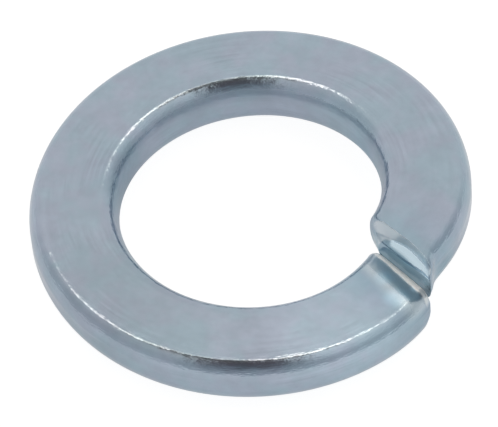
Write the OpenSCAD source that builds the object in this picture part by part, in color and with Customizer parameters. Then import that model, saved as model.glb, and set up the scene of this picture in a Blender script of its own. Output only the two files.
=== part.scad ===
// Spring lock washer: one turn of rounded rectangular wire, wound as a left-hand helix and cut through once.
// The bore runs along +Z, the cut is on the +X side and the washer's lowest edge is at z = 0.

/* [Ring] */
// Diameter of the bore
bore_d = 12.2; // [8:0.1:16]
// Radial width of the wire
wire_w = 4.15; // [3.4:0.05:6]
// Thickness of the wire at mid width, measured along the bore
wire_t = 2.5; // [1.8:0.05:4]
// How much thicker coiling left the wire along the bore than along the outside
keystone = 0.25; // [0:0.05:0.4]
// Radial reach of the rounded edges along the bore
inner_edge_w = 0.8; // [0.3:0.05:1.2]
// Height of the rounded edges along the bore
inner_edge_h = 1.05; // [0.3:0.05:1.2]
// Radial reach of the rounded edges along the outside
outer_edge_w = 0.6; // [0.3:0.05:1.2]
// Height of the rounded edges along the outside
outer_edge_h = 0.9; // [0.3:0.05:1.2]
// Height of the raised end above the low end
rise = 1.9; // [0.6:0.1:3]

/* [Cut] */
// Opening between the two cut faces
gap = 0.05; // [0.05:0.05:1]
// Angle between the cut and a true radius, seen from above
cut_skew = 12; // [-20:0.1:20]

/* [Raised end] */
// Length of the top surface that the shear has pulled over, at the bore
roll_len = 0.7; // [0.2:0.05:1]
// Share of the wire's width over which that length runs out to nothing
roll_reach = 0.85; // [0.5:0.05:1]
// Slope of the pulled-over surface
roll_slope = 0.8; // [0.1:0.05:1]
// Radial reach of the eased corner between the cut face and the bore, on top
ease_top = 0.8; // [0.1:0.05:1.6]
// Radial reach of that eased corner underneath
ease_foot = 1.5; // [0.1:0.05:1.6]
// Depth of that eased corner along the wire
ease_len = 0.6; // [0.1:0.05:0.8]

/* [Low end] */
// Distance over which the top surface sinks towards the burr
hollow_len = 1.05; // [0.6:0.05:1.3]
// Depth of the sunk surface at the outer edge of the wire
hollow_depth = 0.2; // [0:0.02:0.4]
// Share of that depth that is left at the bore
hollow_inner = 0.4; // [0:0.1:1]
// Length of the burr that stands up along the cut
burr_len = 0.34; // [0.1:0.02:0.5]
// Height of the burr above the bottom of the hollow
burr_h = 0.12; // [0:0.02:0.3]
// Length of the underside that the shear has pulled over
under_len = 0.45; // [0.1:0.05:0.8]
// Height by which the underside is lifted at the cut face
under_h = 0.7; // [0.1:0.05:0.8]
// Radius of the tip between the cut face and the bore
tip_r = 0.3; // [0.1:0.05:0.6]

/* [Fineness] */
// Steps along the turn
turn_steps = 108; // [60:4:140]
// Steps round each long edge
edge_steps = 5; // [3:1:6]
// Steps along each shaped end
end_steps = 9; // [6:1:12]

/* [Hidden] */
zinc = [0.64, 0.69, 0.75];
bore_r = bore_d / 2;
mid_r = bore_r + wire_w / 2;
// The swept wire is this much proud of the bore, which is then cut to a true cylinder.
bore_stock = 0.008;
bore_fn = 180;
// Length of wire at each end over which the section changes, and over which the slanted cut fades out
end_len = 1.4;
skew_len = 7;
// Softness of the line where the raised end's roll starts and of the hollow's far edge, as shares of their lengths
roll_crease = 0.12;
hollow_crease = 0.08;
// Least length of the roll, a rounding of the sharp edge
edge_break = 0.03;
// Rounded edges, kept off the middle of the wire's height
inner_h = min(inner_edge_h, 0.45 * wire_t);
outer_h = min(outer_edge_h, 0.45 * wire_t);

function arc_deg(len) = len / mid_r * 180 / PI;
function smooth(x) = let(t = max(0, min(1, x))) t * t * (3 - 2 * t);
// Quarter of an ellipse: 0 at x = 1 and beyond, 1 at x = 0
function ease(x) = 1 - sqrt(1 - pow(max(0, 1 - x), 2));

// Angle at which the cut's plane, moved by the distance off, crosses the radius r
function cut_angle(r, off) = asin((mid_r * sin(cut_skew) + off) / r) - cut_skew;

// Thickness at the radial place u, as a share of that at mid width
function keystoned(u) = 1 - keystone * u / (wire_w * wire_t);

raised_deg = cut_angle(mid_r, gap / 2);
low_deg = 360 + cut_angle(mid_r, -gap / 2);
// The washer stands on the flat of its low end beside the bore's rounded edge, where the lifted underside begins.
foot_u = inner_edge_w - wire_w / 2;
foot_deg = 360 + cut_angle(mid_r + foot_u, -gap / 2) - arc_deg(under_len);
foot_h = wire_t / 2 * keystoned(foot_u);

// The wire's section as [u, w]: u is radial from mid width, w is height above mid thickness
section = [
    for (c = [[1, 1, 0, outer_edge_w, outer_h], [-1, 1, 90, inner_edge_w, inner_h],
            [-1, -1, 180, inner_edge_w, inner_h], [1, -1, 270, outer_edge_w, outer_h]])
        for (k = [0:edge_steps])
            let(a = c[2] + 90 * k / edge_steps)
            let(u = c[0] * (wire_w / 2 - c[3]) + c[3] * cos(a), w = c[1] * (wire_t / 2 - c[4]) + c[4] * sin(a))
            [u, w * keystoned(u)]
];

// Drop of the top surface at the distance d from the raised end's face, for the radial place u
function roll(d, u) =
    let(len = max(edge_break, roll_len * (1 - (u / wire_w + 0.5) / roll_reach)))
    let(t = max(0, 1 - d / len))
    len * roll_slope * t * t / (t + roll_crease);

// Drop of the top surface at the distance d from the low end's face, for the radial place u
function hollow(d, u) =
    let(share = hollow_inner + (1 - hollow_inner) * smooth(1.6 * u / wire_w + 0.8))
    let(t = max(0, min(1, (hollow_len - d) / (hollow_len - burr_len))))
    let(sunk = 1 - pow(1 - t * t * (1 + hollow_crease) / (t + hollow_crease), 1.5))
    share * (hollow_depth * sunk - burr_h * smooth((burr_len - d) / burr_len));

// How much of an inward shift reaches the radial place u: all at the bore, none beyond mid width
function bore_side(u) = max(0, -2 * u / wire_w);

// A section point after the shaping of the ends, d_up and d_low being its distances from the two faces
function shaped(p, d_up, d_low) =
    let(up = p[1] / wire_t + 0.5)
    let(drop = roll(d_up, p[0]) + hollow(d_low, p[0]), lift = under_h * ease(d_low / under_len))
    let(inset = (ease_foot + (ease_top - ease_foot) * up) * ease(d_up / ease_len) + tip_r * ease(d_low / tip_r))
    [p[0] + inset * bore_side(p[0]), foot_h + p[1] - drop * up + lift * (1 - up)];

// A section point placed on the helix, where turn is the angle at mid width
function placed(p, turn) =
    let(d_up = (turn - raised_deg) * PI / 180 * mid_r, d_low = (low_deg - turn) * PI / 180 * mid_r)
    let(q = shaped(p, d_up, d_low))
    let(r = mid_r + q[0] - bore_stock * bore_side(p[0]))
    let(up_shift = cut_angle(r, gap / 2) - raised_deg, low_shift = cut_angle(r, -gap / 2) - low_deg + 360)
    let(a = turn + up_shift * (1 - smooth(d_up / skew_len)) + low_shift * (1 - smooth(d_low / skew_len)))
    [r * cos(a), r * sin(a), q[1] + rise * (foot_deg - a) / 360];

// Stations along the wire: close together at the ends, even in between
near_end = [for (k = [0:end_steps - 1]) end_len * pow(k / end_steps, 1.6)];
stations = concat(
    [for (d = near_end) raised_deg + arc_deg(d)],
    [for (k = [0:turn_steps])
        raised_deg + arc_deg(end_len) + (low_deg - raised_deg - 2 * arc_deg(end_len)) * k / turn_steps],
    [for (k = [end_steps - 1:-1:0]) low_deg - arc_deg(near_end[k])]
);

// Wire swept through all the stations, closed by a flat face at each end
module swept_wire() {
    m = len(section);
    last = len(stations) - 1;
    points = [for (turn = stations) for (p = section) placed(p, turn)];
    sides = [
        for (i = [0:last - 1])
            for (j = [0:m - 1])
                let(a = i * m + j, b = i * m + (j + 1) % m)
                for (f = [[a, b, a + m], [b, b + m, a + m]]) f
    ];
    caps = [[for (j = [m - 1:-1:0]) j], [for (j = [0:m - 1]) last * m + j]];
    polyhedron(points = points, faces = concat(sides, caps), convexity = 6);
}

module lock_washer() {
    color(zinc)
    difference() {
        swept_wire();
        translate([0, 0, -wire_t])
            cylinder(r = bore_r, h = rise + 3 * wire_t, $fn = bore_fn);
    }
}

lock_washer();
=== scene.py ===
import math

import bmesh
import bpy
from mathutils import Matrix, Vector, noise


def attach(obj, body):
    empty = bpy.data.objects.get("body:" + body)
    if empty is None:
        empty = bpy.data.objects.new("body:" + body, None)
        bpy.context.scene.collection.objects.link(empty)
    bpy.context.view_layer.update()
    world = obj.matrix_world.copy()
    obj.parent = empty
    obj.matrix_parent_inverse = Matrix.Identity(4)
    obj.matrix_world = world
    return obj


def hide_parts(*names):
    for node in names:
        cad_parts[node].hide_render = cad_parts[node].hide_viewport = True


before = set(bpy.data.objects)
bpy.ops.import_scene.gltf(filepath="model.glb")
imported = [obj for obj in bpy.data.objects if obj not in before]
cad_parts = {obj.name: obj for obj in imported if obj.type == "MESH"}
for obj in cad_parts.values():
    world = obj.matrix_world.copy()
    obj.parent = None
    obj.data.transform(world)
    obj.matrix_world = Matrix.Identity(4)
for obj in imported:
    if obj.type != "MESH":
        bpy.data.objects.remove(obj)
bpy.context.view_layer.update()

mm = 0.001

# Camera, at the place the photograph was taken from
cameraSetup = {
    "azimuth": 35.8,
    "elevation": 48.82,
    "roll": -5.30,
    "distance": 224.7 * mm,
    "pixelsPerMetre": 21470.0,   # at the origin's distance
    "originPixel": (253.40, 238.70),
    "imageSize": (498, 427),
    "sensor": 36.0,
}


def cameraAxes(setup):
    az, el, roll = [math.radians(setup[k]) for k in ("azimuth", "elevation", "roll")]
    back = Vector((math.sin(az) * math.cos(el), -math.cos(az) * math.cos(el), math.sin(el)))
    level = (-back).cross(Vector((0, 0, 1))).normalized()
    upright = level.cross(-back)
    right = level * math.cos(roll) + upright * math.sin(roll)
    up = -level * math.sin(roll) + upright * math.cos(roll)
    return right, up, back


def makeCamera(setup):
    right, up, back = cameraAxes(setup)
    width, height = setup["imageSize"]
    data = bpy.data.cameras.new("camera")
    data.sensor_width = setup["sensor"]
    data.lens = setup["pixelsPerMetre"] * setup["distance"] / width * setup["sensor"]
    data.clip_start, data.clip_end = 0.01, 10
    camera = bpy.data.objects.new("camera", data)
    bpy.context.collection.objects.link(camera)
    # the picture's centre is aimed at, which lies a little off the origin
    dx = (width / 2 - setup["originPixel"][0]) / setup["pixelsPerMetre"]
    dy = (setup["originPixel"][1] - height / 2) / setup["pixelsPerMetre"]
    spot = right * dx + up * dy
    place = back * setup["distance"]
    toward = (place - spot).normalized()
    side = up.cross(toward).normalized()
    turn = Matrix((side, toward.cross(side), toward)).transposed().to_4x4()
    camera.matrix_world = Matrix.Translation(place) @ turn
    bpy.context.scene.camera = camera


makeCamera(cameraSetup)
bpy.context.scene.view_settings.view_transform = "Standard"
print("camera placed")


# Helpers for node trees
def newNode(tree, kind, place=None, **settings):
    # nodes with no place of their own stand in rows of twelve, in the order they are made
    row, column = divmod(len(tree.nodes), 12)
    node = tree.nodes.new(kind)
    node.location = place or (220 * column, -260 * row)
    for name, value in settings.items():
        setattr(node, name, value)
    return node


def feed(tree, value, socket):
    if isinstance(value, bpy.types.NodeSocket):
        tree.links.new(value, socket)
    elif value is not None:
        socket.default_value = value


def sums(tree, operation, a, b=None):
    node = newNode(tree, "ShaderNodeMath", operation=operation)
    feed(tree, a, node.inputs[0])
    feed(tree, b, node.inputs[1])
    return node.outputs[0]


def plus(tree, a, b):
    return sums(tree, "ADD", a, b)


def less(tree, a, b):
    return sums(tree, "SUBTRACT", a, b)


def times(tree, a, b):
    return sums(tree, "MULTIPLY", a, b)


def step(tree, value, low, high, fromValue=0.0, toValue=1.0):
    # fromValue below low, toValue above high, smooth between
    node = newNode(tree, "ShaderNodeMapRange", interpolation_type="SMOOTHSTEP")
    for name, given in (("Value", value), ("From Min", low), ("From Max", high),
                        ("To Min", fromValue), ("To Max", toValue)):
        feed(tree, given, node.inputs[name])
    return node.outputs["Result"]


def blend(tree, share, a, b, kind="MIX"):
    node = newNode(tree, "ShaderNodeMix", data_type="RGBA", blend_type=kind)
    feed(tree, share, node.inputs["Factor"])
    feed(tree, a, node.inputs[6])
    feed(tree, b, node.inputs[7])
    return node.outputs[2]


# The washer: lengths in metres, angles in degrees
washer = {
    "boreRadius": 6.1 * mm,
    "wireWidth": 4.147 * mm,
    "wireThickness": 2.5 * mm,
    "keystone": 0.25 * mm,       # thicker by this along the bore than along the outside
    "innerEdge": 0.8 * mm,       # rounded edges, across and down
    "innerEdgeDown": 1.15 * mm,
    "outerEdge": 0.57 * mm,
    "outerEdgeDown": 0.86 * mm,
    "facet": {"inner": 0.0, "outer": 0.25},    # how far a rounded edge is flattened towards its chord
    "rise": 1.885 * mm,          # height of the raised end above the low end
    "gap": 0.006 * mm,           # between the two sheared faces
    "cutSkew": 12.0,             # of the cut, from a true radius
    "skewFade": 7 * mm,          # wire over which the slanted cut turns back to a true radius
    "edgePoints": 24,            # round each rounded edge, before the section is spaced evenly
    "sectionPoints": 144,
    "stations": 520,
    "endStations": 70,           # stations that crowd towards each end
    "endReach": 3.0 * mm,
    "endCrowding": 1.5,
    "capRings": 12,              # rings that close each sheared face
    "capReach": 0.985,           # share of the way to the middle line that they go
    "sharpAngle": 38,            # between faces that meet in a sharp edge
}

# What the shear did to the raised end
raisedEnd = {
    "rollLength": (0.32 * mm, -0.4 * mm),  # top surface pulled over, at the bore and outside
    "rollLeast": 0.05 * mm,      # what is left of it where it would be nought
    "rollDepth": (1.0 * mm, 0.48 * mm),
    "rollBias": 2.5,             # how soon that depth falls away from the bore
    "rollCrease": 0.004,         # softness of the line where it starts
    "easeWidth": (1.5 * mm, 0.78 * mm),    # corner towards the bore, underneath and above
    "easeBias": 4,               # how soon the first gives way to the second
    "easeLength": 0.7 * mm,
    "easePower": 1.6,
    "tuck": 0.16 * mm,           # bent in towards the axis
    "tuckLength": 4.0 * mm,
    "taper": 0.28 * mm,          # outer wall drawn in towards the cut
    "taperLength": 5.0 * mm,
    "flare": 0.38 * mm,          # outer corner of the face, squeezed outwards
    "flareLength": 0.35 * mm,
}

# What the shear did to the low end
lowEnd = {
    "hollowLength": 1.2 * mm,    # top surface sunk towards the burr
    "hollowDepth": 0.08 * mm,
    "hollowInner": 0.5,          # share of that depth at the bore side
    "hollowReach": 1.25,         # half widths from the bore over which it grows to the whole
    "hollowRound": 1.5,          # roundness of its bottom
    "hollowCrease": 0.3,         # softness of its far edge
    "ridge": 0.025 * mm,         # metal heaped up beyond the hollow, near the outside
    "ridgePlace": (1.1 * mm, 1.15 * mm),      # across and along the wire
    "ridgeSpread": 0.34 * mm,
    "rollLength": 0.45 * mm,     # underside pulled over
    "rollLift": 0.7 * mm,
    "burrLength": 0.34 * mm,     # burr that stands along the cut
    "burrHeight": 0.04 * mm,
    "tipRadius": 0.3 * mm,       # rounded corner towards the bore
    "taper": 0.14 * mm,          # outer wall drawn in towards the cut
    "taperLength": 2.5 * mm,
}

# How the shear pushed both ends along the wire, and then the raised face's upper part back again
lean = {
    "over": (0.0, 0.3 * mm),     # at the bore and outside
    "length": 1.2 * mm,          # wire over which it fades
    "backFrom": (0.8 * mm, 1.1 * mm),      # above the low end's top surface, up to mid width and outside
    "backSlope": 0.8,
    "backSoftness": 0.05 * mm,
}

midRadius = washer["boreRadius"] + washer["wireWidth"] / 2
halfWidth = washer["wireWidth"] / 2
halfThickness = washer["wireThickness"] / 2


def keystoned(u):
    # thickness at a radial place, as a share of that at mid width
    return 1 - washer["keystone"] * u / (washer["wireWidth"] * washer["wireThickness"])


# depth of the section's lowest line
underside = halfThickness * keystoned(washer["innerEdge"] - halfWidth)


def smooth(x):
    t = max(0.0, min(1.0, x))
    return t * t * (3 - 2 * t)


def quarterEase(x):
    # 1 at x = 0, falling on a quarter of an ellipse to 0 at x = 1
    return 1 - math.sqrt(1 - max(0.0, 1 - x) ** 2)


def cutAngle(radius, offset):
    # angle at which the cut's plane, moved by offset, crosses a radius
    skew = math.radians(washer["cutSkew"])
    return math.asin((midRadius * math.sin(skew) + offset) / radius) - skew


raisedAngle = cutAngle(midRadius, washer["gap"] / 2)
lowAngle = 2 * math.pi + cutAngle(midRadius, -washer["gap"] / 2)
footAngle = 2 * math.pi + cutAngle(washer["boreRadius"] + washer["innerEdge"], -washer["gap"] / 2)
footAngle -= lowEnd["rollLength"] / midRadius


# Wire, made by Geometry Nodes: a rounded rectangle carried once round a flat helix
def wireTree():
    tree = bpy.data.node_groups.new("helicalWire", "GeometryNodeTree")
    face = tree.interface
    face.new_socket("Geometry", in_out="OUTPUT", socket_type="NodeSocketGeometry")
    for name in ("Mid Radius", "Wire Width", "Wire Thickness", "Inner Edge", "Outer Edge", "Drop",
                 "Turns"):
        face.new_socket(name, in_out="INPUT", socket_type="NodeSocketFloat")
    for name in ("Edge Points", "Section Points", "Stations"):
        face.new_socket(name, in_out="INPUT", socket_type="NodeSocketInt")
    face.new_socket("Finish", in_out="INPUT", socket_type="NodeSocketMaterial")
    given = newNode(tree, "NodeGroupInput", (-900, 0)).outputs
    result = newNode(tree, "NodeGroupOutput", (1300, 0))

    helix = newNode(tree, "GeometryNodeCurveSpiral", (-600, 200))
    feed(tree, given["Stations"], helix.inputs["Resolution"])
    feed(tree, given["Turns"], helix.inputs["Rotations"])
    feed(tree, given["Mid Radius"], helix.inputs["Start Radius"])
    feed(tree, given["Mid Radius"], helix.inputs["End Radius"])
    feed(tree, given["Drop"], helix.inputs["Height"])
    upright = newNode(tree, "GeometryNodeSetCurveNormal", (-300, 200), mode="Z_UP")
    feed(tree, helix.outputs[0], upright.inputs["Curve"])

    block = newNode(tree, "GeometryNodeCurvePrimitiveQuadrilateral", (-600, -200))
    feed(tree, given["Wire Width"], block.inputs["Width"])
    feed(tree, given["Wire Thickness"], block.inputs["Height"])
    place = newNode(tree, "GeometryNodeInputPosition", (-600, -500))
    apart = newNode(tree, "ShaderNodeSeparateXYZ", (-450, -500))
    feed(tree, place.outputs[0], apart.inputs[0])
    # x runs inwards, so what is below nought lies outside
    outside = newNode(tree, "FunctionNodeCompare", (-300, -500), operation="LESS_THAN")
    feed(tree, apart.outputs["X"], outside.inputs[0])
    radius = newNode(tree, "GeometryNodeSwitch", (-150, -500), input_type="FLOAT")
    feed(tree, outside.outputs[0], radius.inputs["Switch"])
    feed(tree, given["Inner Edge"], radius.inputs["False"])
    feed(tree, given["Outer Edge"], radius.inputs["True"])
    rounded = newNode(tree, "GeometryNodeFilletCurve", (0, -200), mode="POLY")
    feed(tree, given["Edge Points"], rounded.inputs["Count"])
    feed(tree, block.outputs[0], rounded.inputs["Curve"])
    feed(tree, radius.outputs[0], rounded.inputs["Radius"])
    even = newNode(tree, "GeometryNodeResampleCurve", (300, -200))
    feed(tree, rounded.outputs[0], even.inputs["Curve"])
    feed(tree, given["Section Points"], even.inputs["Count"])

    sweep = newNode(tree, "GeometryNodeCurveToMesh", (600, 0))
    feed(tree, upright.outputs[0], sweep.inputs["Curve"])
    feed(tree, even.outputs[0], sweep.inputs["Profile Curve"])
    real = newNode(tree, "GeometryNodeRealizeInstances", (850, 0))
    feed(tree, sweep.outputs[0], real.inputs[0])
    finish = newNode(tree, "GeometryNodeSetMaterial", (1080, 0))
    feed(tree, real.outputs[0], finish.inputs["Geometry"])
    feed(tree, given["Finish"], finish.inputs["Material"])
    feed(tree, finish.outputs[0], result.inputs[0])
    return tree


def windWire(finish):
    # one turn of plain wire, as a mesh whose vertices run round the section, station by station
    seed = bpy.data.objects.new("wound", bpy.data.meshes.new("wound"))
    bpy.context.collection.objects.link(seed)
    tree = wireTree()
    turns = (lowAngle - raisedAngle) / (2 * math.pi)
    values = {
        "Mid Radius": midRadius,
        "Wire Width": washer["wireWidth"],
        "Wire Thickness": washer["wireThickness"],
        "Inner Edge": washer["innerEdge"],
        "Outer Edge": washer["outerEdge"],
        "Drop": -washer["rise"] * turns,
        "Turns": turns,
        "Edge Points": washer["edgePoints"],
        "Section Points": washer["sectionPoints"],
        "Stations": washer["stations"],
        "Finish": finish,
    }
    modifier = seed.modifiers.new("wire", "NODES")
    modifier.node_group = tree
    for item in tree.interface.items_tree:
        if item.in_out == "INPUT":
            modifier[item.identifier] = values[item.name]
    shown = seed.evaluated_get(bpy.context.evaluated_depsgraph_get())
    mesh = bpy.data.meshes.new_from_object(shown)
    seed.modifiers.remove(modifier)
    bpy.data.objects.remove(seed)
    return mesh


def stationAngles(count):
    # angles of the stations: crowded at both ends, even between
    ends = washer["endStations"]
    reach = washer["endReach"] / midRadius
    near = [reach * (k / ends) ** washer["endCrowding"] for k in range(ends)]
    middle = count - 2 * ends
    span = lowAngle - raisedAngle - 2 * reach
    angles = [raisedAngle + a for a in near]
    angles += [raisedAngle + reach + span * k / (middle - 1) for k in range(middle)]
    angles += [lowAngle - a for a in reversed(near)]
    return angles


def between(pair, share):
    return pair[0] + (pair[1] - pair[0]) * share


def rollOver(across):
    # how far the pulled-over surface reaches behind the raised face
    length = between(raisedEnd["rollLength"], across)
    return (length + math.hypot(length, 2 * raisedEnd["rollLeast"])) / 2


def rollDepth(across):
    # how far the face's top edge lies below the top surface
    return between(raisedEnd["rollDepth"], 1 - max(0.0, 1 - across) ** raisedEnd["rollBias"])


def raisedShape(d, u, w):
    # section point of the raised end, d behind its face
    end = raisedEnd
    across = (u / halfWidth + 1) / 2
    up = (w + halfThickness) / washer["wireThickness"]
    over = max(0.0, 1 - d / rollOver(across))
    drop = rollDepth(across) * over * over * (1 + end["rollCrease"]) / (over + end["rollCrease"])
    inside = max(0.0, -u / halfWidth)
    outside = max(0.0, u / halfWidth)
    reach = between(end["easeWidth"], 1 - (1 - min(1.0, up)) ** end["easeBias"])
    u += reach * max(0.0, 1 - d / end["easeLength"]) ** end["easePower"] * inside
    u += end["flare"] * math.exp(-(d / end["flareLength"]) ** 2) * outside
    u -= end["tuck"] * max(0.0, 1 - d / end["tuckLength"]) ** 2
    u -= end["taper"] * max(0.0, 1 - d / end["taperLength"]) ** 2 * outside
    return u, w - drop * up


def lowShape(d, u, w):
    # section point of the low end, d behind its face
    end = lowEnd
    share = between((end["hollowInner"], 1), smooth((u / halfWidth + 1) / end["hollowReach"]))
    near = max(0.0, min(1.0, (end["hollowLength"] - d) / (end["hollowLength"] - end["burrLength"])))
    near = near * near * (1 + end["hollowCrease"]) / (near + end["hollowCrease"])
    sunk = 1 - (1 - near) ** end["hollowRound"]
    burr = smooth((end["burrLength"] - d) / end["burrLength"])
    drop = share * (end["hollowDepth"] * sunk - end["burrHeight"] * burr)
    off = math.hypot(u - end["ridgePlace"][0], d - end["ridgePlace"][1]) / end["ridgeSpread"]
    drop -= end["ridge"] * math.exp(-off * off)
    lift = end["rollLift"] * quarterEase(d / end["rollLength"])
    inside = max(0.0, -u / halfWidth)
    outside = max(0.0, u / halfWidth)
    u += end["tipRadius"] * quarterEase(d / end["tipRadius"]) * inside
    u -= end["taper"] * max(0.0, 1 - d / end["taperLength"]) ** 2 * outside
    up = (w + halfThickness) / washer["wireThickness"]
    return u, w - drop * up + lift * (1 - up)


def onHelix(turn, u, w):
    # a section point put in its place, the slanted cut and the shaped ends included
    dRaised = (turn - raisedAngle) * midRadius
    dLow = (lowAngle - turn) * midRadius
    u, w = raisedShape(dRaised, u, w)
    u, w = lowShape(dLow, u, w)
    radius = midRadius + u
    raised = cutAngle(radius, washer["gap"] / 2) - raisedAngle
    low = cutAngle(radius, -washer["gap"] / 2) + 2 * math.pi - lowAngle
    angle = turn + raised * (1 - smooth(dRaised / washer["skewFade"]))
    angle += low * (1 - smooth(dLow / washer["skewFade"]))
    height = underside + w + washer["rise"] * (footAngle - angle) / (2 * math.pi)
    return Vector((radius * math.cos(angle), radius * math.sin(angle), height))


def leaned(place, dRaised, dLow):
    # a placed point after the lean, given how far it is behind either face
    across = min(1.0, (place.xy.length - washer["boreRadius"]) / washer["wireWidth"])
    shift = -between(lean["over"], across)
    above = min(washer["rise"] - rollDepth(across), place.z - underside - halfThickness)
    above -= between(lean["backFrom"], smooth(2 * across - 1))
    share = 1 - smooth(min(dRaised, dLow) / lean["length"])
    if dRaised < dLow and above > 0:
        shift += lean["backSlope"] * above * above / (above + lean["backSoftness"])
    return Matrix.Rotation(shift * share / midRadius, 3, "Z") @ place


def closeEnd(bm, rim, inwards):
    # cut face: rings that shrink towards the wire's middle line, then a last strip
    low = min((v.co for v in rim), key=lambda c: c.xy.length)
    high = max((v.co for v in rim), key=lambda c: c.xy.length)
    axis = (high - low).normalized()
    middle = sum((v.co for v in rim), Vector()) / len(rim)
    reach = (washer["wireWidth"] - washer["wireThickness"]) / 2
    ring = list(rim)
    made = list(rim)
    start = [v.co.copy() for v in rim]
    level = [middle + axis * max(-reach, min(reach, (c - middle).dot(axis))) for c in start]
    for k in range(1, washer["capRings"] + 1):
        share = washer["capReach"] * k / washer["capRings"]
        inner = [bm.verts.new(a.lerp(b, share)) for a, b in zip(start, level)]
        for j in range(len(ring)):
            following = (j + 1) % len(ring)
            quad = (ring[j], ring[following], inner[following], inner[j])
            bm.faces.new(quad if inwards else quad[::-1])
        ring = inner
        made += inner
    bm.faces.new(ring if inwards else ring[::-1])
    return made


def stretchEdges(u, w):
    # section point with the rounded edges drawn down to their full height
    side = "inner" if u < 0 else "outer"
    across, down = washer[side + "Edge"], washer[side + "EdgeDown"]
    if abs(u) < halfWidth - across:
        return u, w
    flat = halfThickness - across
    if abs(w) <= flat:
        return u, w * (halfThickness - down) / flat
    out, up = (abs(u) - halfWidth + across) / across, (abs(w) - flat) / across
    keep = 1 - washer["facet"][side] * (1 - 1 / (out + up))
    u = math.copysign(halfWidth - across + out * keep * across, u)
    return u, math.copysign(halfThickness - down + up * keep * down, w)


# Where the shear left the metal torn and matt, and where it burnished the raised face, whose burnished part
# is also lightened as a painted highlight and whose rest takes painted shade
shearMarks = {
    "upper": (0.3, 0.8),                   # heights between which the marks set in, in half thicknesses
    "lip": (0.18 * mm, 0.32 * mm),         # low end's burr: torn up to the first, sound beyond the second
    "lipUneven": 0.07 * mm,
    "unevenLength": 0.5 * mm,
    "hollow": (1.0 * mm, 1.9 * mm),        # the same for its hollow, which is torn less
    "hollowShare": 0.34,
    "rollBorder": (0.03, 0.03 * mm),       # torn beyond the raised end's roll: share of its length, and more
    "rollShare": 0.38,
    "bright": (0.8 * mm, 1.05 * mm),       # heights above the low end's top surface, between which the burnish and its painted highlight set in
    "brightInner": (-0.95 * mm, -0.6 * mm),    # from mid width, no burnish and no painted highlight up to the first, but painted shade on its upper part
}


def fading(value, limits):
    # 1 up to the first limit, 0 beyond the second
    return 1 - smooth((value - limits[0]) / (limits[1] - limits[0]))


def tornShare(turn, u, w):
    # how torn the plating is at a point of the long surfaces
    marks = shearMarks
    upper = 1 - fading(w / halfThickness, marks["upper"])
    dLow = (lowAngle - turn) * midRadius
    dRaised = (turn - raisedAngle) * midRadius
    uneven = marks["lipUneven"] * noise.noise(Vector((u / marks["unevenLength"], 0, 0)))
    low = max(fading(dLow + uneven, marks["lip"]), marks["hollowShare"] * fading(dLow, marks["hollow"]))
    length = rollOver((u / halfWidth + 1) / 2)
    border = marks["rollBorder"][0] * length + marks["rollBorder"][1]
    raised = marks["rollShare"] * fading(dRaised, (length, length + border))
    return upper * max(low, raised)


def brightShare(place):
    # how burnished, and so lightened by painted highlight, a point of the raised face is; below nought where
    # it is dull and takes painted shade
    upper = 1 - fading(place.z - underside - halfThickness, shearMarks["bright"])
    inner = fading(place.xy.length - midRadius, shearMarks["brightInner"])
    return (2 * upper - 1) * (1 - inner) - upper * inner


def makeWasher(finish):
    mesh = windWire(finish)
    bm = bmesh.new()
    bm.from_mesh(mesh)
    bm.verts.ensure_lookup_table()
    points = washer["sectionPoints"]
    count = len(bm.verts) // points
    section = []
    for j in range(points):          # the section, read from the wire's first station
        at = bm.verts[j].co
        u, w = stretchEdges(at.xy.length - midRadius, at.z)
        section.append((u, w * keystoned(u)))
    torn = bm.verts.layers.float.new("torn")
    bright = bm.verts.layers.float.new("bright")
    angles = stationAngles(count)
    for i, turn in enumerate(angles):
        for j, (u, w) in enumerate(section):
            vertex = bm.verts[i * points + j]
            vertex.co = onHelix(turn, u, w)
            vertex[torn] = tornShare(turn, u, w)
    raisedFace = closeEnd(bm, [bm.verts[j] for j in range(points)], True)
    bm.verts.ensure_lookup_table()
    lowFace = closeEnd(bm, [bm.verts[(count - 1) * points + j] for j in range(points)], False)
    bm.verts.ensure_lookup_table()
    bm.verts.index_update()
    wireLength = (lowAngle - raisedAngle) * midRadius
    for i, turn in enumerate(angles):
        dRaised, dLow = (turn - raisedAngle) * midRadius, (lowAngle - turn) * midRadius
        if min(dRaised, dLow) < lean["length"]:
            for j in range(points):
                vertex = bm.verts[i * points + j]
                vertex.co = leaned(vertex.co, dRaised, dLow)
    for vertex in raisedFace:
        vertex[bright] = brightShare(vertex.co)
        if vertex.index >= count * points:
            vertex.co = leaned(vertex.co, 0, wireLength)
    for vertex in lowFace:
        if vertex.index >= count * points:
            vertex.co = leaned(vertex.co, wireLength, 0)
    bmesh.ops.recalc_face_normals(bm, faces=bm.faces)
    for face in bm.faces:
        face.smooth = True
    bm.to_mesh(mesh)
    bm.free()
    mesh.set_sharp_from_angle(angle=math.radians(washer["sharpAngle"]))
    piece = bpy.data.objects.new("washer", mesh)
    bpy.context.collection.objects.link(piece)
    return piece
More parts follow.
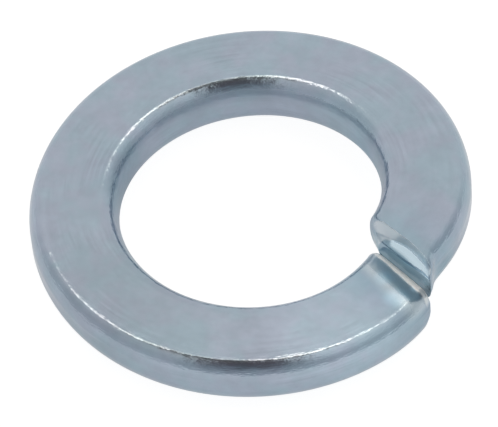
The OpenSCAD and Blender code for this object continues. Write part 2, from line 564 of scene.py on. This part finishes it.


# Zinc plating, with painted highlights and painted shade in places
zincLook = {
    "rosy": (0.401, 0.465, 0.564, 1),        # the two shades of the film that wander over it
    "leafy": (0.372, 0.482, 0.564, 1),
    "film": 2.2 * mm,                        # size of those patches
    "filmRange": (0.36, 0.64),
    "mottle": 0.9 * mm,                      # size of its lighter and darker clouds
    "mottleShare": 0.3,
    "lines": 0.2 * mm,                       # spacing of the drawing lines that run round the wire
    "lineStretch": 0.025,                    # drawn out along it
    "lineShare": 0.34,
    "worn": 3.0 * mm,                        # size of the patches where they show
    "wornRange": (0.42, 0.62),
    "grain": 0.26 * mm,                      # small unevenness that breaks up the highlights
    "grainStretch": 0.4,                     # drawn out along the wire
    "grainDepth": 0.032 * mm,
    "grainLines": 0.3,                       # share of the drawing lines in it
    "grainFlat": 0.13,                       # share of it on the flat faces, and on the walls
    "grainWall": 0.4,
    "flatBorder": 0.1 * mm,                  # beyond the rounded edges
    "wallBorder": (0.12 * mm, 0.02 * mm),    # in from the walls
    "roughness": 0.15,
    "boreRoughness": 0.38,
    "boreBorder": (0.4 * mm, 0.03 * mm),     # in from the bore
    "outsideRoughness": 0.17,
    "paintedLightPatches": [                             # painted highlights and painted shade: place in millimetres, reach in millimetres, tint
        # painted highlight: lighter top at the front right
        ((7.4, -4.4, 3.0), (1.0, 4.5), (1.18, 1.18, 1.18)),
        # painted shade: darker top at the front left
        ((-2.5, -8.5, 3.0), (1.5, 6.0), (0.90, 0.90, 0.90)),
        ((6.6, -0.3, 2.4), (0.1, 0.6), (0.72, 0.78, 0.84)),      # painted shade at the tip of the low end
        ((7.75, -0.96, 2.45), (0.1, 0.65), (1.10, 1.20, 1.24)),  # painted highlights: light spots in its hollow
        ((8.9, -1.7, 2.45), (0.15, 0.8), (1.28, 1.34, 1.36)),
        # painted glint on the ridge beyond the hollow
        ((9.25, -0.8, 2.3), (0.05, 0.3), (1.6, 1.6, 1.6)),
        ((9.9, 1.0, 2.5), (0.3, 1.3), (0.82, 0.92, 0.91)),       # painted shade on the outer wall above the cut
        ((-5.8, -1.9, 1.0), (1.0, 3.4), (0.72, 0.76, 0.80)),     # painted shade on the bore at the left and at the right
        ((3.4, 5.2, 1.4), (0.8, 2.6), (0.80, 0.93, 0.98)),
    ],
    "torn": (0.97, 1.0, 1.0, 1),             # matt metal, left by the shear
    "tornRoughness": 0.55,
    "bright": (0.75, 0.91, 1.0, 1),          # burnished metal, lightened beyond its own colour as a painted highlight
    "dullShade": (0.80, 0.84, 0.84, 1),           # painted shade on the rest of that face, where it is dull
    "cutTint": (0.78, 0.91, 0.94, 1),        # darker and bluer near the cut
    "cutReach": (0.8 * mm, 4.0 * mm),
}


def speckle(tree, place, size, detail, seed):
    node = newNode(tree, "ShaderNodeTexNoise", noise_dimensions="4D")
    feed(tree, place, node.inputs["Vector"])
    for name, value in (("Scale", 1 / size), ("Detail", detail), ("Roughness", 0.6), ("W", seed)):
        node.inputs[name].default_value = value
    return node.outputs["Fac"]


def alongWire(tree, radius, along, z, stretch):
    # place across and along the wire, drawn out along it
    node = newNode(tree, "ShaderNodeCombineXYZ")
    for value, socket in zip((radius, times(tree, along, stretch), z), node.inputs):
        feed(tree, value, socket)
    return node.outputs[0]


def tinted(tree, share, colour, tint):
    return blend(tree, share, colour, blend(tree, 1.0, colour, tint, "MULTIPLY"))


def tintedRound(tree, place, colour, centre, reach, tint):
    # tinted within the first reach of a centre, untouched beyond the second
    off = newNode(tree, "ShaderNodeVectorMath", operation="DISTANCE")
    feed(tree, place, off.inputs[0])
    off.inputs[1].default_value = centre
    return tinted(tree, step(tree, off.outputs["Value"], reach[1], reach[0]), colour, tint)


def zincColour(tree, place, lines, torn, bright):
    look = zincLook
    film = step(tree, speckle(tree, place, look["film"], detail=3, seed=1.0), *look["filmRange"])
    colour = blend(tree, film, look["rosy"], look["leafy"])
    worn = step(tree, speckle(tree, place, look["worn"], detail=1, seed=3.0), *look["wornRange"])
    shade = times(tree, less(tree, lines, 0.5), times(tree, worn, look["lineShare"]))
    mottle = less(tree, speckle(tree, place, look["mottle"], detail=4, seed=4.0), 0.5)
    shade = plus(tree, shade, times(tree, mottle, look["mottleShare"]))
    colour = blend(tree, 1.0, colour, plus(tree, shade, 1.0), "MULTIPLY")

    cut = (midRadius, 0, washer["rise"])
    colour = tintedRound(tree, place, colour, cut, look["cutReach"], look["cutTint"])
    colour = blend(tree, torn, colour, look["torn"])
    # burnished metal, lightened as a painted highlight
    colour = blend(tree, bright, colour, look["bright"])
    # painted shade on the rest of the raised face
    colour = tinted(tree, step(tree, bright, 0.0, -1.0), colour, look["dullShade"])
    # painted highlights and painted shade, patch by patch
    for spot, (near, far), tint in look["paintedLightPatches"]:
        colour = tintedRound(tree, place, colour, Vector(spot) * mm, (near * mm, far * mm), (*tint, 1))
    return colour


def zincRoughness(tree, radius, torn):
    look = zincLook
    far, near = [midRadius - halfWidth + border for border in look["boreBorder"]]
    boreSide = step(tree, radius, far, near, 0.0, look["boreRoughness"] - look["roughness"])
    outer = midRadius + halfWidth
    outSide = step(tree, radius, outer - washer["outerEdge"], outer,
                   look["roughness"], look["outsideRoughness"])
    extra = times(tree, torn, look["tornRoughness"] - look["roughness"])
    return plus(tree, plus(tree, boreSide, outSide), extra)


def zincGrain(tree, radius, grain, lines):
    # strongest on the rounded edges
    look = zincLook
    fromMiddle = sums(tree, "ABSOLUTE", less(tree, radius, midRadius))
    edge = step(tree, fromMiddle, halfWidth - washer["innerEdge"] - look["flatBorder"],
                halfWidth - washer["outerEdge"], look["grainFlat"], 1.0)
    far, near = [halfWidth - border for border in look["wallBorder"]]
    wall = step(tree, fromMiddle, far, near, 1.0, look["grainWall"])
    bump = newNode(tree, "ShaderNodeBump")
    bump.inputs["Distance"].default_value = look["grainDepth"]
    feed(tree, times(tree, edge, wall), bump.inputs["Strength"])
    feed(tree, plus(tree, grain, times(tree, lines, look["grainLines"])), bump.inputs["Height"])
    return bump.outputs[0]


def zincFinish():
    look = zincLook
    material = bpy.data.materials.new("zincPlating")
    material.use_nodes = True
    tree = material.node_tree
    shader = tree.nodes["Principled BSDF"]
    shader.inputs["Metallic"].default_value = 1

    place = newNode(tree, "ShaderNodeTexCoord").outputs["Object"]
    apart = newNode(tree, "ShaderNodeSeparateXYZ")
    feed(tree, place, apart.inputs[0])
    x, y, z = apart.outputs
    radius = sums(tree, "SQRT", plus(tree, times(tree, x, x), times(tree, y, y)))
    along = times(tree, sums(tree, "ARCTAN2", y, x), midRadius)
    drawn = alongWire(tree, radius, along, z, look["lineStretch"])
    lines = speckle(tree, drawn, look["lines"], detail=2, seed=2.0)
    drawn = alongWire(tree, radius, along, z, look["grainStretch"])
    grain = speckle(tree, drawn, look["grain"], detail=3, seed=5.0)
    torn, bright = [newNode(tree, "ShaderNodeAttribute", attribute_name=name).outputs["Fac"]
                    for name in ("torn", "bright")]
    feed(tree, zincColour(tree, place, lines, torn, bright), shader.inputs["Base Color"])
    feed(tree, zincRoughness(tree, radius, torn), shader.inputs["Roughness"])
    feed(tree, zincGrain(tree, radius, grain, lines), shader.inputs["Normal"])
    return material


washerPiece = makeWasher(zincFinish())
print("washer made:", len(washerPiece.data.polygons), "faces")
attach(washerPiece, "root")
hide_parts("lock_washer")

# Studio: a pale room round the camera's bearing, two soft lights high at the back, a dark patch above
studio = {
    # height above the floor in degrees, colour of the room there
    "aheadOfWasher": [(-60, (0.89, 0.88, 0.88)), (30, (0.86, 0.83, 0.81)), (46, (0.87, 0.83, 0.81)),
                      (52, (0.82, 0.79, 0.77)), (60, (1.00, 0.96, 0.92)), (72, (1.00, 0.94, 0.88)),
                      (80, (0.72, 0.66, 0.62)), (90, (0.32, 0.28, 0.26))],
    "leftOfWasher": [(-60, (0.82, 0.82, 0.81)), (2, (0.72, 0.73, 0.73)), (20, (0.62, 0.63, 0.64)),
                     (38, (0.65, 0.65, 0.65)), (62, (0.76, 0.74, 0.72)), (72, (0.78, 0.73, 0.69)),
                     (80, (0.42, 0.37, 0.34)), (90, (0.24, 0.21, 0.20))],
    "rightOfWasher": [(-60, (0.78, 0.80, 0.79)), (2, (0.58, 0.60, 0.61)), (16, (0.54, 0.56, 0.57)),
                      (34, (0.66, 0.67, 0.67)), (50, (0.82, 0.82, 0.81)), (78, (1.00, 0.96, 0.92)),
                      (84, (0.70, 0.64, 0.60)), (90, (0.30, 0.26, 0.24))],
    "cameraSide": [(-60, (0.75, 0.76, 0.75)), (-20, (0.70, 0.71, 0.71)), (0, (0.56, 0.58, 0.60)),
                   (10, (0.43, 0.45, 0.47)), (25, (0.32, 0.34, 0.36)), (36, (0.21, 0.22, 0.24)),
                   (50, (0.15, 0.14, 0.15)), (90, (0.12, 0.09, 0.09))],
    "cameraSideCentre": -5,            # bearings in degrees from the camera's, to the right
    "cameraSideSpread": (12, 42),
    "cameraSideWider": (8, 14),        # added to those higher up
    "widerBetween": (50, 68),          # the heights between which that sets in
    "leftToRight": (-20, 20),          # bearings over which one side's colour turns into the other's
    "besideSpread": (95, 140),         # and to either side, over which they turn into the colour ahead
    "patch": (-170, 80),               # bearing and height of the dark patch, and of each light
    "patchSpread": (8, 18),
    "patchShare": 0.7,
    "lights": [(-152, 64), (160, 66)],
    "lightSpread": (3, 9),
    "lightColour": (1.2, 1.0, 0.82, 1),
    "lightStrength": 2.0,
    "floorTone": 0.85,
    "floorGlow": 1.3,
    "floorSize": 0.6,
    "glowSeen": 0.7,                   # share of glow against lit floor, to the camera and in the metal
    "glowMirrored": 0.37,
}


def bearing(angle, height):
    # direction at an angle from the camera's bearing and a height above the floor, in degrees
    a = math.radians(cameraSetup["azimuth"] + angle)
    e = math.radians(height)
    return Vector((math.sin(a) * math.cos(e), -math.cos(a) * math.cos(e), math.sin(e)))


def lobe(tree, direction, towards, spread):
    # 1 within the inner spread of a direction, 0 beyond the outer one
    near = newNode(tree, "ShaderNodeVectorMath", operation="DOT_PRODUCT")
    feed(tree, direction, near.inputs[0])
    near.inputs[1].default_value = towards
    inner, outer = [math.cos(math.radians(s)) for s in spread]
    return step(tree, near.outputs["Value"], outer, inner)


def rampPlace(degrees):
    # a height above the floor on a scale from 0, straight down, to 1, straight up
    return (degrees + 90) / 180


def heightRamp(tree, height, stops):
    # colour by height above the floor, given in degrees
    ramp = newNode(tree, "ShaderNodeValToRGB")
    feed(tree, height, ramp.inputs[0])
    while len(ramp.color_ramp.elements) < len(stops):
        ramp.color_ramp.elements.new(1)
    for element, (degrees, colour) in zip(ramp.color_ramp.elements, stops):
        element.position = rampPlace(degrees)
        element.color = (*colour, 1)
    return ramp.outputs["Color"]


def lightStudio():
    world = bpy.data.worlds.new("studio")
    world.use_nodes = True
    bpy.context.scene.world = world
    tree = world.node_tree
    tree.nodes.clear()
    direction = newNode(tree, "ShaderNodeTexCoord").outputs["Generated"]
    turned = newNode(tree, "ShaderNodeVectorRotate", rotation_type="Z_AXIS")
    feed(tree, direction, turned.inputs["Vector"])
    turned.inputs["Angle"].default_value = -math.radians(cameraSetup["azimuth"])
    apart = newNode(tree, "ShaderNodeSeparateXYZ")
    feed(tree, turned.outputs[0], apart.inputs[0])
    towardCamera = times(tree, apart.outputs["Y"], -1.0)
    angle = sums(tree, "DEGREES", sums(tree, "ARCTAN2", apart.outputs["X"], towardCamera))
    height = plus(tree, times(tree, sums(tree, "ARCSINE", apart.outputs["Z"]), 1 / math.pi), 0.5)

    beside = sums(tree, "ABSOLUTE", angle)
    off = sums(tree, "ABSOLUTE", less(tree, angle, studio["cameraSideCentre"]))
    around = blend(tree, step(tree, angle, *studio["leftToRight"]),
                   heightRamp(tree, height, studio["leftOfWasher"]),
                   heightRamp(tree, height, studio["rightOfWasher"]))
    around = blend(tree, step(tree, beside, *studio["besideSpread"]), around,
                   heightRamp(tree, height, studio["aheadOfWasher"]))
    high = step(tree, height, *map(rampPlace, studio["widerBetween"]))
    spread = [plus(tree, times(tree, high, more), least)
              for least, more in zip(studio["cameraSideSpread"], studio["cameraSideWider"])]
    room = blend(tree, step(tree, off, *spread),
                 heightRamp(tree, height, studio["cameraSide"]), around)
    patch = lobe(tree, direction, bearing(*studio["patch"]), studio["patchSpread"])
    room = blend(tree, 1.0, room, less(tree, 1.0, times(tree, patch, studio["patchShare"])), "MULTIPLY")
    for place in studio["lights"]:
        light = lobe(tree, direction, bearing(*place), studio["lightSpread"])
        room = blend(tree, times(tree, light, studio["lightStrength"]), room, studio["lightColour"], "ADD")
        room.node.clamp_factor = False
    ray = newNode(tree, "ShaderNodeLightPath")
    seen = blend(tree, ray.outputs["Is Camera Ray"], room, (1, 1, 1, 1))
    glow = newNode(tree, "ShaderNodeBackground")
    feed(tree, seen, glow.inputs["Color"])
    out = newNode(tree, "ShaderNodeOutputWorld")
    feed(tree, glow.outputs[0], out.inputs["Surface"])


def floorFinish():
    material = bpy.data.materials.new("paleFloor")
    material.use_nodes = True
    tree = material.node_tree
    tree.nodes.clear()
    ray = newNode(tree, "ShaderNodeLightPath")
    tone = studio["floorTone"]
    plain = newNode(tree, "ShaderNodeBsdfDiffuse")
    plain.inputs["Color"].default_value = (tone, tone, tone, 1)
    bright = newNode(tree, "ShaderNodeEmission")
    bright.inputs["Color"].default_value = (1, 1, 1, 1)
    bright.inputs["Strength"].default_value = studio["floorGlow"]
    share = plus(tree, times(tree, ray.outputs["Is Camera Ray"], studio["glowSeen"]),
                 times(tree, ray.outputs["Is Glossy Ray"], studio["glowMirrored"]))
    both = newNode(tree, "ShaderNodeMixShader")
    feed(tree, share, both.inputs["Fac"])
    feed(tree, plain.outputs[0], both.inputs[1])
    feed(tree, bright.outputs[0], both.inputs[2])
    out = newNode(tree, "ShaderNodeOutputMaterial")
    feed(tree, both.outputs[0], out.inputs["Surface"])
    return material


def layFloor():
    # the washer rests tilted, on its low end and on the wire opposite, so the floor leans to meet it
    rise = washer["rise"]
    slope = Vector((rise / (4 * midRadius), -rise / (2 * math.pi * midRadius), 1)).normalized()
    bpy.ops.mesh.primitive_plane_add(size=studio["floorSize"])
    floor = bpy.context.object
    floor.name = "floor"
    turn = Vector((0, 0, 1)).rotation_difference(slope).to_matrix().to_4x4()
    lowest = min((slope.dot(v.co) for v in washerPiece.data.vertices))
    floor.data.transform(Matrix.Translation(slope * lowest) @ turn)
    floor.data.materials.append(floorFinish())


lightStudio()
layFloor()
print("studio lit")
